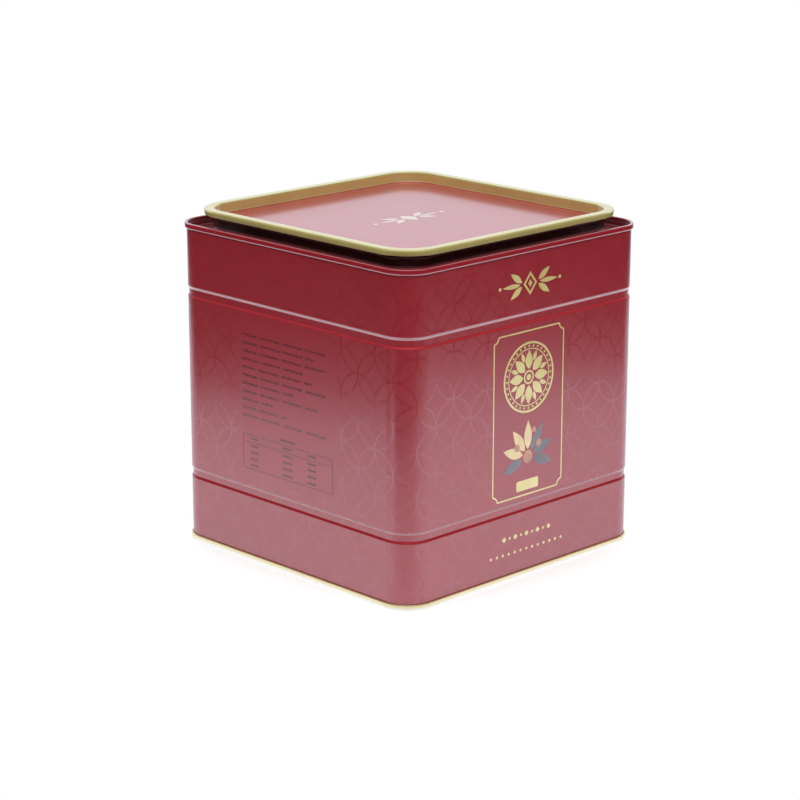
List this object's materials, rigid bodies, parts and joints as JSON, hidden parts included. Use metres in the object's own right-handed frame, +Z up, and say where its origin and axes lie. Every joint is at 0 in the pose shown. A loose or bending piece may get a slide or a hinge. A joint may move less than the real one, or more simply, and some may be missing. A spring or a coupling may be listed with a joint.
{
  "type": "lithographed tin",
  "caption": "Square tin with rounded corners, rolled grooves and double-seamed rims; a plug lid with a sunken panel lifts off a raised neck to reach the dry goods inside.",
  "frame": {"origin": "middle of the footprint, on the surface that the tin stands on", "axes": "+Z up along the tin's axis, -Y out of the framed front face, +X to the right of that face"},
  "size_m": [0.167, 0.167, 0.1722],
  "materials": {
    "red_print": "satin lacquer over a printed lattice",
    "red_ring": "satin lacquer, dark on the neck",
    "gold_bottom": "satin gold lacquer",
    "seam_lining": "matte compound",
    "lid_print": "satin gold lacquer with a red panel"
  },
  "bodies": {
    "tin": {"body_shell": "red_print", "top_ring": "red_ring", "bottom_end": "gold_bottom", "top_seam_lining": "seam_lining", "bottom_seam_lining": "seam_lining"},
    "lid": {"lid": "lid_print"}
  },
  "joints": [
    {"name": "lid_lift", "type": "slide", "parent": "tin", "child": "lid", "axis": [0, 0, 1], "range_m": [0, 0.16]}
  ]
}
